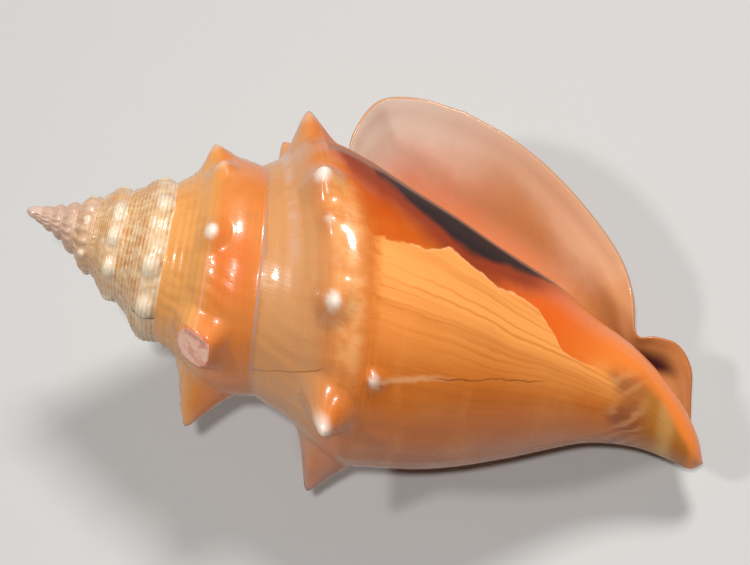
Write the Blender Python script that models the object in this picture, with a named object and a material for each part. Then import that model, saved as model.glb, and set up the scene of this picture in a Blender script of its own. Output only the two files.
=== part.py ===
"""Fighting conch shell, one solid piece: a dextral spire, a knobbed body whorl, a flared
outer lip with its notch, and an open aperture that runs half a turn into the shell.

All shape values are millimetres in the shell's own frame: a runs along the coiling axis from
the apex, b and c are square to it, and an angle of 0 turns lies on +b and 0.25 turns on +c.
The last step lays the shell down in its rest pose, in metres, with +Z up."""

import math

import bmesh
import bpy
import numpy as np
from mathutils import Matrix, Vector

# main sizes
LENGTH = 90.0
COLUMNS_PER_TURN = 48
FIRST_TURN = 2.0
LIP_TURN = 9.0 + 23.0 / 24.0
BAND_ROWS = 8
BASE_ROWS = 13
HOLLOW_COLUMNS = 20
HOLLOW_END_TURN = 9.45
LIP_THICKNESS = 1.4
WALL_THICKNESS = 1.9
FLARE_START_TURN = 9.80

# direction in the shell's frame that points straight up when it lies at rest
REST_UP = (-0.259728, 0.296976, 0.918883)

# suture line: turn, distance from the apex, radius
SUTURE = [
    (0.0, 0.35, 0.15), (1.0, 1.0, 0.6), (2.0, 1.8, 1.0), (3.0, 3.1, 1.35), (4.0, 4.5, 1.85),
    (5.0, 6.2, 2.7), (6.0, 8.6, 4.3), (7.0, 12.0, 6.3), (7.5, 14.3, 7.6), (8.0, 16.9, 8.9),
    (8.25, 19.3, 9.8), (8.5, 20.6, 10.8), (8.75, 23.0, 12.6), (9.0, 26.3, 14.1),
    (9.25, 31.2, 14.0), (9.5, 34.2, 13.5), (9.75, 36.0, 14.6), (LIP_TURN, 36.3, 18.3),
]

# crest of the shoulder on the last turns: turn, distance, radius
SHOULDER = [
    (7.5, 16.8, 10.6), (8.0, 20.3, 13.4), (8.1, 22.5, 13.5), (8.2, 24.0, 13.7),
    (8.375, 26.1, 13.8), (8.5, 26.9, 14.0), (8.75, 28.2, 16.0), (8.95, 29.6, 18.3),
    (9.0, 30.6, 18.9), (9.12, 34.2, 19.4), (9.19, 38.2, 19.3), (9.25, 40.5, 19.1),
    (9.36, 42.9, 18.2), (9.5, 43.8, 17.4), (9.75, 44.5, 19.8), (9.87, 43.0, 22.6),
]

# lower edge of the shoulder band on the last turn: turn, distance, radius
BAND_EDGE = [
    (LIP_TURN - 1.0, 36.3, 18.3), (9.0, 38.0, 18.7), (9.12, 42.0, 19.2), (9.25, 46.3, 19.3),
    (9.5, 50.0, 17.7), (9.75, 52.0, 20.0), (9.87, 51.0, 23.6),
]

# body whorl below the band, down to the siphonal end: turn, then distance and radius
BASE = [
    (LIP_TURN - 1.0, [(36.3, 18.3), (43.4, 16.6), (50.6, 14.6), (58.0, 12.0), (65.0, 9.8),
                      (72.5, 7.4), (79.0, 5.9), (84.5, 4.0), (88.0, 2.2), (LENGTH, 0.0)]),
    (9.0, [(38.0, 18.7), (43.8, 17.1), (50.8, 15.2), (58.0, 12.9), (65.0, 10.9),
           (72.5, 8.1), (79.0, 6.4), (84.5, 4.4), (88.0, 2.4), (LENGTH, 0.0)]),
    (9.25, [(46.3, 19.3), (51.5, 18.3), (57.0, 16.2), (63.0, 13.2), (69.0, 10.0),
            (75.0, 7.2), (80.5, 5.2), (85.0, 3.7), (88.2, 2.2), (LENGTH, 0.0)]),
    (9.5, [(50.0, 17.7), (55.5, 16.3), (61.0, 14.2), (66.5, 11.4), (71.5, 8.5),
           (76.5, 6.0), (81.5, 3.9), (86.0, 2.6), (88.6, 1.8), (LENGTH, 0.0)]),
    (9.75, [(52.0, 20.0), (57.5, 18.8), (63.0, 16.4), (68.5, 13.2), (73.5, 9.8),
            (78.0, 7.2), (82.0, 5.2), (85.5, 4.2), (88.2, 2.6), (LENGTH, 0.0)]),
    (9.87, [(51.0, 23.6), (57.3, 22.2), (63.5, 19.4), (69.2, 15.6), (73.8, 11.8),
            (77.8, 8.6), (81.5, 7.6), (85.0, 5.8), (88.0, 2.9), (LENGTH, 0.0)]),
]

# edge of the outer lip from the suture round to the siphonal end: a, b, c
LIP_EDGE = [
    (36.3, 17.4, -5.7), (35.6, 22.1, -8.0), (37.4, 27.1, -9.3), (42.2, 29.0, -9.0),
    (48.6, 29.1, -8.4), (55.4, 27.6, -7.6), (61.9, 24.9, -6.6), (68.1, 21.1, -5.6),
    (73.0, 17.1, -4.6), (76.0, 12.8, -4.0), (77.8, 8.3, -3.8), (80.1, 8.7, -3.8),
    (83.2, 8.6, -3.6), (85.7, 6.2, -3.5), (86.7, 2.7, -3.0), (87.9, -1.6, -1.4),
    (LENGTH, -4.7, 0.0),
]

# inner side of the hollow, the hidden part of the turn before: turn, distance and radius
INNER_SIDE = [
    (9.45, [(36.0, 11.2), (39.5, 9.4), (44.0, 7.0), (49.0, 5.2), (54.0, 4.2),
            (59.0, 3.7), (63.5, 3.5), (67.5, 3.4), (71.0, 3.4), (74.0, 3.4)]),
    (9.6, [(37.6, 12.0), (41.5, 10.6), (46.5, 8.2), (52.0, 6.0), (57.5, 4.6),
           (63.0, 3.9), (68.0, 3.6), (72.5, 3.4), (76.0, 3.3), (78.5, 3.3)]),
    (9.75, [(38.2, 13.4), (43.0, 12.2), (49.0, 10.0), (55.0, 7.6), (61.0, 5.6),
            (67.0, 4.4), (73.0, 3.8), (78.0, 3.4), (81.5, 3.2), (83.5, 3.1)]),
    (9.85, [(38.4, 15.2), (44.0, 14.2), (50.5, 12.3), (57.0, 9.9), (63.5, 7.6),
            (70.0, 5.8), (76.0, 4.6), (81.0, 3.6), (84.5, 3.0), (86.5, 2.6)]),
    (LIP_TURN, BASE[0][1]),
]

# spines and knobs on the shoulder: turn, column of 48, height, half width, lean along the axis
SPINES = [
    (6, 1, 0.35, 1.3, 0.0), (6, 7, 0.4, 1.4, 0.0), (6, 12, 0.4, 1.4, 0.0), (6, 17, 0.4, 1.4, 0.0),
    (6, 23, 0.4, 1.5, 0.0), (6, 29, 0.4, 1.5, 0.0), (6, 35, 0.4, 1.5, 0.0), (6, 41, 0.4, 1.6, 0.0),
    (7, 0, 0.5, 1.9, 0.0), (7, 6, 0.6, 2.0, 0.0), (7, 13, 0.7, 2.1, 0.0), (7, 19, 0.7, 2.1, 0.0),
    (7, 25, 0.7, 2.1, 0.0), (7, 31, 0.7, 2.2, 0.0), (7, 37, 0.8, 2.2, 0.0), (7, 43, 0.9, 2.4, 0.0),
    (8, 1, 1.5, 3.0, -0.4), (8, 4, 1.4, 2.8, 0.0), (8, 10, 1.6, 2.8, 0.0), (8, 24, 5.7, 5.0, 0.0),
    (8, 30, 5.6, 4.8, 0.0), (8, 35, 6.2, 4.8, 0.0), (8, 40, 3.6, 4.2, 0.0), (8, 45, 1.6, 3.2, -1.2),
    (9, 0, 3.5, 4.2, -0.25), (9, 6, 2.4, 3.4, 0.0), (9, 8, 0.8, 2.0, 0.0), (9, 12, 3.0, 3.4, 0.0),
    (9, 17, 4.8, 4.4, 0.15), (9, 24, 5.4, 4.6, 0.0), (9, 31, 4.6, 4.8, 0.0), (9, 38, 5.1, 5.0, 0.0),
]
BROKEN_SPINE = (8, 18, 6.0, 4.4, 1.7)
SIDE_KNOB = (9, 14, 0.9, 2.0, 0.35)


def through(xs, ys, x):
    """Smooth curve through the points xs, ys, read at x."""
    xs = np.asarray(xs, float)
    ys = np.asarray(ys, float)
    single = ys.ndim == 1
    if single:
        ys = ys[:, None]
    x = np.atleast_1d(np.asarray(x, float))
    step = np.diff(xs)
    rise = np.diff(ys, axis=0) / step[:, None]
    slope = np.zeros_like(ys)
    weighted = rise[:-1] * step[1:, None] + rise[1:] * step[:-1, None]
    slope[1:-1] = weighted / (step[1:] + step[:-1])[:, None]
    slope[0] = rise[0]
    slope[-1] = rise[-1]
    i = np.clip(np.searchsorted(xs, x, side="right") - 1, 0, len(step) - 1)
    t = ((x - xs[i]) / step[i])[:, None]
    width = step[i][:, None]
    value = (2 * t**3 - 3 * t**2 + 1) * ys[i] + (3 * t**2 - 2 * t**3) * ys[i + 1]
    value = value + width * ((t**3 - 2 * t**2 + t) * slope[i] + (t**3 - t**2) * slope[i + 1])
    return value[:, 0] if single else value


def ease(x):
    x = np.clip(x, 0.0, 1.0)
    return x * x * (3.0 - 2.0 * x)


def centre_shift(a):
    """The siphonal end bends away from the coiling axis."""
    return -4.7 * np.clip((np.asarray(a, float) - 74.0) / 16.0, 0.0, None) ** 1.6


def to_point(a, radius, turn):
    angle = 2.0 * math.pi * np.asarray(turn)
    return np.stack([a, radius * np.cos(angle) + centre_shift(a), radius * np.sin(angle)], -1)


def suture(turn):
    table = np.array(SUTURE)
    return through(table[:, 0], table[:, 1:], turn)


def band_edge(turn):
    table = np.array(BAND_EDGE)
    edge = suture(np.clip(turn + 1.0, 0.0, LIP_TURN))
    late = through(table[:, 0], table[:, 1:], np.clip(turn, table[0, 0], table[-1, 0]))
    last = turn > LIP_TURN - 1.0
    edge[last] = late[last]
    return edge


def band_controls(turn):
    """Suture, ramp, crest, flank and lower edge of the band at each turn value."""
    top = suture(turn)
    bottom = band_edge(turn)
    across = bottom - top
    width = np.linalg.norm(across, axis=1)[:, None]
    along = across / width
    out = np.stack([-along[:, 1], along[:, 0]], 1)
    table = np.array(SHOULDER)
    late = through(table[:, 0], table[:, 1:], np.clip(turn, table[0, 0], table[-1, 0]))
    swell = (out * width) * ease((turn - FIRST_TURN) / 0.6)[:, None]
    early = top + across * 0.55 + swell * 0.11
    blend = ease((turn - 7.3) / 0.7)[:, None]
    crest = early * (1.0 - blend) + late * blend
    ramp = top + (crest - top) * 0.5 - swell * 0.035
    flank = crest + (bottom - crest) * 0.5 + swell * 0.05
    return np.stack([top, ramp, crest, flank, bottom], 1)


def table_read(table, turn, shares):
    """Distance and radius from a table of curves, between its turns and along each curve."""
    turns = [row[0] for row in table]
    curves = [through(np.linspace(0, 1, len(row[1])), row[1], shares) for row in table]
    flat = np.array(curves).reshape(len(turns), -1)
    read = through(turns, flat, np.clip(turn, turns[0], turns[-1]))
    return read.reshape(len(turn), len(shares), 2)


def surface(turn, rows):
    """Points of the smooth outer surface; rows run 0 to 4 over the band, 4 to 5 over the base."""
    turn = np.atleast_1d(np.asarray(turn, float))
    rows = np.asarray(rows, float)
    band_part = rows[rows <= 4.0]
    base_part = rows[rows > 4.0] - 4.0
    controls = band_controls(turn)
    band = np.array([through(np.arange(5), one, band_part) for one in controls])
    shape = band
    if len(base_part):
        shape = np.concatenate([band, table_read(BASE, turn, base_part)], 1)
    grid = np.repeat(turn[:, None], len(rows), 1)
    cyl = np.concatenate([shape, grid[:, :, None]], 2)
    if turn.max() > FLARE_START_TURN:
        edge = lip_edge(band_part, base_part)
        even = np.clip((turn - FLARE_START_TURN) / (LIP_TURN - FLARE_START_TURN), 0, 1)[:, None]
        share = (0.65 * even + 0.35 * ease(even))[:, :, None]
        swung = FLARE_START_TURN + (edge[None, :, 2] - FLARE_START_TURN) * even
        cyl = cyl * (1.0 - share) + edge[None] * share
        cyl[..., 2] = np.where(turn[:, None] > FLARE_START_TURN, swung, grid)
    return to_point(cyl[..., 0], cyl[..., 1], cyl[..., 2])


def lip_edge(band_part, base_part):
    """Distance, radius and turn along the lip edge at the given rows."""
    points = np.array(LIP_EDGE)
    b = points[:, 1] - centre_shift(points[:, 0])
    c = points[:, 2]
    turn = np.arctan2(c, b) / (2.0 * math.pi) + 10.0
    turn[-1] = LIP_TURN
    edge = np.stack([points[:, 0], np.hypot(b, c), turn], 1)
    parts = [through(np.arange(5), edge[:5], band_part)]
    if len(base_part):
        parts.append(through(np.linspace(0, 1, len(edge) - 4), edge[4:], base_part))
    return np.concatenate(parts)


def row_values(band_rows, base_rows):
    band = np.linspace(0.0, 4.0, band_rows + 1)
    base = 4.0 + np.linspace(0.0, 1.0, base_rows + 1)[1:]
    return np.concatenate([band, base])


def normals(turn, rows):
    """Outward directions of the surface, from small steps along and across it."""
    small = 0.002
    rows_low = np.clip(rows - 0.01, 0.0, 5.0)
    rows_high = np.clip(rows + 0.01, 0.0, 5.0)
    along = surface(np.minimum(turn + small, LIP_TURN), rows) - surface(turn - small, rows)
    across = surface(turn, rows_high) - surface(turn, rows_low)
    out = np.cross(along, across)
    out = out / np.maximum(np.linalg.norm(out, axis=2, keepdims=True), 1e-9)
    for _ in range(3):
        out[:, 1:-1] = (out[:, :-2] + 2.0 * out[:, 1:-1] + out[:, 2:]) / 4.0
    return out / np.maximum(np.linalg.norm(out, axis=2, keepdims=True), 1e-9)


def spine_lift(points):
    """Move for each surface point, from every spine and knob near it."""
    lift = np.zeros_like(points)
    for turn, column, height, width, lean in SPINES:
        centre, out = spine_root(turn + column / 48.0, 2.0)
        reach = np.linalg.norm(points - centre, axis=-1) / width
        size = height * np.clip(1.0 - reach, 0.0, 1.0) ** 1.35
        direction = out + np.array([lean, 0.0, 0.0])
        lift += size[..., None] * direction
    turn, column, height, width, cut = BROKEN_SPINE
    centre, out = spine_root(turn + column / 48.0, 2.0)
    reach = np.linalg.norm(points - centre, axis=-1) / width
    size = np.minimum(height * np.clip(1.0 - reach, 0.0, 1.0) ** 1.35, cut)
    lift += size[..., None] * out
    turn, column, height, width, down = SIDE_KNOB
    centre, out = spine_root(turn + column / 48.0, 4.0 + down * 0.1)
    reach = np.linalg.norm(points - centre, axis=-1) / width
    lift += (height * np.clip(1.0 - reach, 0.0, 1.0))[..., None] * out
    return lift


def spine_root(turn, row):
    centre = surface([turn], [row])[0, 0]
    angle = 2.0 * math.pi * turn
    return centre, np.array([0.0, math.cos(angle), math.sin(angle)])


class Shell:
    """Collects the points and faces of the one closed surface."""

    def __init__(self):
        self.points = []
        self.faces = []
        self.kinds = []

    def add(self, point):
        self.points.append(np.asarray(point, float))
        return len(self.points) - 1

    def face(self, kind, *corners):
        self.faces.append(corners)
        self.kinds.append(kind)

    def strip(self, kind, first, second):
        """Faces between two lines of equal length, closing to a triangle where they meet."""
        for k in range(len(first) - 1):
            ring = [first[k], first[k + 1], second[k + 1], second[k]]
            corners = []
            for corner in ring:
                if corner not in corners:
                    corners.append(corner)
            if len(corners) > 2:
                self.face(kind, *corners)


def outer_grid(shell, rows):
    """Columns of vertex numbers over the outside, each whorl sewn to the one before."""
    first = int(FIRST_TURN * COLUMNS_PER_TURN)
    lip = int(round(LIP_TURN * COLUMNS_PER_TURN))
    band = BAND_ROWS
    columns = {}
    tip = shell.add(to_point(LENGTH, 0.0, 0.0))
    for i in range(lip, first - 1, -1):
        turn = np.array([i / COLUMNS_PER_TURN])
        if i == lip:
            turn = np.array([LIP_TURN])
        last_turn = i >= lip - COLUMNS_PER_TURN
        used = rows if last_turn else rows[:band + 1]
        points = surface(turn, used)[0]
        if i < lip:
            points = points + spine_lift(points)
        column = [shell.add(point) for point in points[:band]]
        if i <= lip - COLUMNS_PER_TURN:
            column.append(columns[i + COLUMNS_PER_TURN][0])
        else:
            column.append(shell.add(points[band]))
        if last_turn:
            column += [shell.add(point) for point in points[band + 1:-1]]
            column.append(tip)
        columns[i] = column
    for i in range(first, lip):
        height = min(len(columns[i]), len(columns[i + 1]))
        kind = 0 if i < 7.0 * COLUMNS_PER_TURN else 1
        shell.strip(kind, columns[i][:height], columns[i + 1][:height])
    apex = shell.add((0.0, 0.0, 0.0))
    for i in range(first, first + COLUMNS_PER_TURN):
        shell.face(0, apex, columns[i + 1][0], columns[i][0])
    for j in range(band):
        shell.face(0, apex, columns[first][j], columns[first][j + 1])
    return columns[lip], columns[lip - COLUMNS_PER_TURN], tip


def hollow_column(turn, rows, depth):
    """Points of the hollow at one turn value: under the outer wall, then on the inner side."""
    shares = np.linspace(0.0, 1.0, BASE_ROWS + 1)
    inner = table_read(INNER_SIDE, np.array([turn]), shares)[0]
    inner_points = to_point(inner[:, 0], inner[:, 1], np.full(len(shares), turn))
    fine = np.linspace(0.0, 1.0, 101)
    reach = surface([turn], 4.0 + fine[1:])[0][:, 0]
    end = np.interp(inner[-1, 0] + 0.4, reach, fine[1:])
    used = np.where(rows > 4.0, 4.0 + (rows - 4.0) * end, rows)
    wall = surface([turn], used)[0]
    out = normals(np.array([turn]), used)[0]
    thickness = LIP_THICKNESS + (WALL_THICKNESS - LIP_THICKNESS) * ease(depth * 3.0)
    thickness = thickness * (1.0 - 0.35 * ease((rows - 4.4) / 0.15))
    thickness = thickness * ease((5.0 - used) / 0.3)
    if depth == 0.0:
        thickness = thickness * ease(rows / 0.9)
    outer_points = wall - out * thickness[:, None]
    outer_points[0] = inner_points[0]
    outer_points[-1] = inner_points[-1]
    return outer_points, inner_points


def hollow(shell, lip_column, start_column, tip, rows):
    """Lip edge, inside of the lip, and the hollow with its closed inner end."""
    base_start = start_column[BAND_ROWS:]
    under, _ = hollow_column(LIP_TURN, rows, 0.0)
    edge_points = [shell.points[v] for v in lip_column]
    before = surface([LIP_TURN - 0.004], rows)[0]
    forward = surface([LIP_TURN], rows)[0] - before
    forward /= np.maximum(np.linalg.norm(forward, axis=1, keepdims=True), 1e-9)
    middle = [lip_column[0]]
    inside = [lip_column[0]]
    for j in range(1, len(rows) - 1):
        half = (edge_points[j] + under[j]) / 2.0
        gap = np.linalg.norm(edge_points[j] - under[j])
        middle.append(shell.add(half + forward[j] * gap * 0.3))
        inside.append(shell.add(under[j]))
    middle.append(tip)
    inside.append(tip)
    shell.strip(2, lip_column, middle)
    shell.strip(2, middle, inside)
    wall, floor = inside, base_start
    for k in range(1, HOLLOW_COLUMNS + 1):
        depth = k / HOLLOW_COLUMNS
        turn = LIP_TURN + (HOLLOW_END_TURN - LIP_TURN) * depth
        outer_points, inner_points = hollow_column(turn, rows, depth)
        next_wall = [shell.add(point) for point in outer_points]
        next_floor = [next_wall[0]]
        next_floor += [shell.add(point) for point in inner_points[1:-1]]
        next_floor.append(next_wall[-1])
        shell.strip(2, wall, next_wall)
        shell.strip(2, next_floor, floor)
        wall, floor = next_wall, next_floor
    close_between(shell, wall, floor)


def close_between(shell, wall, floor):
    """Flat end of the hollow, between two lines that share their end vertices."""
    i, j = 0, 0
    while i < len(wall) - 1 or j < len(floor) - 1:
        next_i = (i + 1) / (len(wall) - 1)
        next_j = (j + 1) / (len(floor) - 1)
        if i < len(wall) - 1 and (next_i <= next_j or j == len(floor) - 1):
            corners = (wall[i], wall[i + 1], floor[j])
            i += 1
        else:
            corners = (wall[i], floor[j + 1], floor[j])
            j += 1
        if len(set(corners)) == 3:
            shell.face(2, *corners)


def material(name, colour, roughness):
    made = bpy.data.materials.new(name)
    made.use_nodes = True
    shader = made.node_tree.nodes["Principled BSDF"]
    shader.inputs["Base Color"].default_value = (*colour, 1.0)
    shader.inputs["Roughness"].default_value = roughness
    shader.inputs["Metallic"].default_value = 0.0
    return made


def make_object(shell):
    up = Vector(REST_UP).normalized()
    ahead = (Vector((1.0, 0.0, 0.0)) - up * up.x).normalized()
    turn_to_rest = Matrix((ahead, up.cross(ahead), up))
    placed = [turn_to_rest @ Vector(point * 0.001) for point in shell.points]
    low = Vector([min(point[k] for point in placed) for k in range(3)])
    high = Vector([max(point[k] for point in placed) for k in range(3)])
    origin = Vector(((low.x + high.x) / 2.0, (low.y + high.y) / 2.0, low.z))
    mesh = bpy.data.meshes.new("shell")
    mesh.from_pydata([tuple(point - origin) for point in placed], [], shell.faces)
    for made in (material("spire_cream", (0.62, 0.42, 0.26), 0.3),
                 material("body_orange", (0.62, 0.24, 0.06), 0.25),
                 material("lip_peach", (0.8, 0.5, 0.34), 0.25)):
        mesh.materials.append(made)
    for polygon, kind in zip(mesh.polygons, shell.kinds):
        polygon.material_index = kind
        polygon.use_smooth = True
    work = bmesh.new()
    work.from_mesh(mesh)
    bmesh.ops.triangulate(work, faces=work.faces[:])
    bmesh.ops.recalc_face_normals(work, faces=work.faces[:])
    work.to_mesh(mesh)
    work.free()
    made = bpy.data.objects.new("shell", mesh)
    bpy.context.scene.collection.objects.link(made)
    return made


def main():
    for old in list(bpy.data.objects):
        bpy.data.objects.remove(old, do_unlink=True)
    rows = row_values(BAND_ROWS, BASE_ROWS)
    shell = Shell()
    lip_column, start_column, tip = outer_grid(shell, rows)
    hollow(shell, lip_column, start_column, tip, rows)
    make_object(shell)


main()
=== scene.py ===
import math
from types import SimpleNamespace

import bmesh
import bpy
import numpy as np
from mathutils import Matrix, Vector


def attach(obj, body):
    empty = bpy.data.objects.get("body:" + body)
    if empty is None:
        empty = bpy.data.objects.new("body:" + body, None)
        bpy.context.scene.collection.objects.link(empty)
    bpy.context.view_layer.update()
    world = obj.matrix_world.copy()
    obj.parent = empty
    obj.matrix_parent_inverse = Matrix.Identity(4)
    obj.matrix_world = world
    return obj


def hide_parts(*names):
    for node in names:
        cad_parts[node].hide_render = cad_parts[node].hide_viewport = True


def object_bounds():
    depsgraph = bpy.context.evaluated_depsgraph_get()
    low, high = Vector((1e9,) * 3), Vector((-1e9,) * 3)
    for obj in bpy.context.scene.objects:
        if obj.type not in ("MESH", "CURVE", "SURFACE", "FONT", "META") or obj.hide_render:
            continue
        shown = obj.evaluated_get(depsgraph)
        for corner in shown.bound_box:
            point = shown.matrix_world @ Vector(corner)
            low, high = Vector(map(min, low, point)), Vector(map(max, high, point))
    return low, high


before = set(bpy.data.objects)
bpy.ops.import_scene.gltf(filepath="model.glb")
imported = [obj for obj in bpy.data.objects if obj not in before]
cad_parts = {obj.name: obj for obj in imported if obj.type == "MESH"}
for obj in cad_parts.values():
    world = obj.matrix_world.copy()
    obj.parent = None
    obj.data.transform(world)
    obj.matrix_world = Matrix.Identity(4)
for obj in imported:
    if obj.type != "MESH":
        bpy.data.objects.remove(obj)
cad_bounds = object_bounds()

# Lengths are millimetres in the shell's own frame: a runs from the apex along the coiling
# axis, b and c across it. A turn is one whorl, counted from the apex. A row runs from 0 at
# the suture to 4 at the lower edge of the shoulder band, and on to 5 at the siphonal end.
MM = 0.001

# main sizes, as in the solid
LENGTH = 90.0
COLUMNS_PER_TURN = 192
GRID_START_TURN = 1.25
SWELL_START_TURN = 2.0
LIP_TURN = 9.0 + 23.0 / 24.0
BODY_TURN = LIP_TURN - 1.0
BAND_ROWS = 48
BASE_ROWS = 52
RIM_STEPS = 4
APEX_STEPS = 4
HOLLOW_COLUMNS = 40
HOLLOW_END_TURN = 9.45
LIP_THICKNESS = 1.4
WALL_THICKNESS = 1.9
FLARE_START_TURN = 9.80
SIPHON_BEND = -4.7
SIPHON_BEND_START = 74.0
SIPHON_BEND_POWER = 1.6

# rest pose: the direction that points up, and the point of the shell's frame at the origin
REST_UP = (-0.259728, 0.296976, 0.918883)
REST_ORIGIN = (0.04326798, 0.00436776, -0.03235627)

# camera place in the shell's frame, its right and up, and its lens
CAMERA_AT = (44.14, 4.50, 224.7)
CAMERA_RIGHT = (0.953, 0.302, 0.0)
CAMERA_UP = (-0.302, 0.953, 0.0)
CAMERA_LENS = 86.4

# suture line: turn, distance from the apex, radius
SUTURE = [
    (0.0, 0.35, 0.15), (1.0, 1.0, 0.6), (2.0, 1.8, 1.0), (3.0, 3.1, 1.35), (4.0, 4.5, 1.85),
    (5.0, 6.2, 2.7), (6.0, 8.6, 4.3), (7.0, 12.0, 6.3), (7.5, 14.3, 7.6), (8.0, 16.9, 8.9),
    (8.25, 19.3, 9.8), (8.5, 20.6, 10.8), (8.75, 23.0, 12.6), (9.0, 26.3, 14.1),
    (9.25, 31.2, 14.0), (9.5, 34.2, 13.5), (9.75, 36.0, 14.6), (LIP_TURN, 36.3, 18.3),
]

# crest of the shoulder on the last turns: turn, distance, radius
SHOULDER = [
    (7.5, 16.8, 10.6), (8.0, 20.3, 13.4), (8.1, 22.5, 13.5), (8.2, 24.0, 13.7),
    (8.375, 26.1, 13.8), (8.5, 26.9, 14.0), (8.75, 28.2, 16.0), (8.95, 29.6, 18.3),
    (9.0, 30.6, 18.9), (9.12, 34.2, 19.4), (9.19, 38.2, 19.3), (9.25, 40.5, 19.1),
    (9.36, 42.9, 18.2), (9.5, 43.8, 17.4), (9.75, 44.5, 19.8), (9.87, 43.0, 22.6),
]

# lower edge of the shoulder band on the last turn: turn, distance, radius
BAND_EDGE = [
    (BODY_TURN, 36.3, 18.3), (9.0, 38.0, 18.7), (9.12, 42.0, 19.2), (9.25, 46.3, 19.3),
    (9.5, 50.0, 17.7), (9.75, 52.0, 20.0), (9.87, 51.0, 23.6),
]

# body whorl below the band, down to the siphonal end: turn, then distance and radius
BASE = [
    (BODY_TURN, [(36.3, 18.3), (43.4, 16.6), (50.6, 14.6), (58.0, 12.0), (65.0, 9.8),
                 (72.5, 7.4), (79.0, 5.9), (84.5, 4.0), (88.0, 2.2), (LENGTH, 0.0)]),
    (9.0, [(38.0, 18.7), (43.8, 17.1), (50.8, 15.2), (58.0, 12.9), (65.0, 10.9),
           (72.5, 8.1), (79.0, 6.4), (84.5, 4.4), (88.0, 2.4), (LENGTH, 0.0)]),
    (9.25, [(46.3, 19.3), (51.5, 18.3), (57.0, 16.2), (63.0, 13.2), (69.0, 10.0),
            (75.0, 7.2), (80.5, 5.2), (85.0, 3.7), (88.2, 2.2), (LENGTH, 0.0)]),
    (9.5, [(50.0, 17.7), (55.5, 16.3), (61.0, 14.2), (66.5, 11.4), (71.5, 8.5),
           (76.5, 6.0), (81.5, 3.9), (86.0, 2.6), (88.6, 1.8), (LENGTH, 0.0)]),
    (9.75, [(52.0, 20.0), (57.5, 18.8), (63.0, 16.4), (68.5, 13.2), (73.5, 9.8),
            (78.0, 7.2), (82.0, 5.2), (85.5, 4.2), (88.2, 2.6), (LENGTH, 0.0)]),
    (9.87, [(51.0, 23.6), (57.3, 22.2), (63.5, 19.4), (69.2, 15.6), (73.8, 11.8),
            (77.8, 8.6), (81.5, 7.6), (85.0, 5.8), (88.0, 2.9), (LENGTH, 0.0)]),
]

# edge of the outer lip from the suture round to the siphonal end: a, b, c
LIP_EDGE = [
    (36.3, 17.4, -5.7), (35.6, 22.1, -8.0), (37.4, 27.1, -9.3), (42.2, 29.0, -9.0),
    (48.6, 29.1, -8.4), (55.4, 27.6, -7.6), (61.9, 24.9, -6.6), (68.1, 21.1, -5.6),
    (73.0, 17.1, -4.6), (76.0, 12.8, -4.0), (77.8, 8.3, -3.8), (80.1, 8.7, -3.8),
    (83.2, 8.6, -3.6), (85.7, 6.2, -3.5), (86.7, 2.7, -3.0), (87.9, -1.6, -1.4),
    (LENGTH, -4.7, 0.0),
]

# inner side of the hollow: turn, distance and radius
INNER_SIDE = [
    (9.45, [(36.0, 11.2), (39.5, 9.4), (44.0, 7.0), (49.0, 5.2), (54.0, 4.2),
            (59.0, 3.7), (63.5, 3.5), (67.5, 3.4), (71.0, 3.4), (74.0, 3.4)]),
    (9.6, [(37.6, 12.0), (41.5, 10.6), (46.5, 8.2), (52.0, 6.0), (57.5, 4.6),
           (63.0, 3.9), (68.0, 3.6), (72.5, 3.4), (76.0, 3.3), (78.5, 3.3)]),
    (9.75, [(38.2, 13.4), (43.0, 12.2), (49.0, 10.0), (55.0, 7.6), (61.0, 5.6),
            (67.0, 4.4), (73.0, 3.8), (78.0, 3.4), (81.5, 3.2), (83.5, 3.1)]),
    (9.85, [(38.4, 15.2), (44.0, 14.2), (50.5, 12.3), (57.0, 9.9), (63.5, 7.6),
            (70.0, 5.8), (76.0, 4.6), (81.0, 3.6), (84.5, 3.0), (86.5, 2.6)]),
    (LIP_TURN, BASE[0][1]),
]

# places of spines and knobs are columns, 48 to a turn
SPINE_COLUMNS = 48.0

# spines and knobs on the shoulder: turn, column, height, half width, lean along the
# axis, paleness of the tip
SPINES = [
    (8, 1, 1.5, 3.0, -0.4, 0.25), (8, 4, 1.4, 2.8, 0.0, 0.3), (8, 9.6, 1.6, 2.8, 0.0, 1.0),
    (8, 24, 5.7, 5.0, 0.0, 0.1), (8, 30, 5.6, 4.8, 0.0, 0.5), (8, 35, 6.2, 4.8, 0.0, 0.5),
    (8, 40, 3.6, 4.2, 0.0, 0.5), (8, 45, 1.6, 3.2, -1.2, 0.1), (9, 0, 3.5, 4.2, -0.25, 0.3),
    (9, 6, 2.4, 3.4, 0.0, 1.0), (9, 8, 0.8, 2.0, 0.0, 0.5), (9, 11.6, 2.6, 3.4, 0.0, 0.9),
    (9, 17, 4.8, 4.4, 0.15, 0.8), (9, 24, 5.4, 4.6, 0.0, 0.1), (9, 31, 4.6, 4.8, 0.0, 0.5),
    (9, 38, 5.1, 5.0, 0.0, 0.5),
]

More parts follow.
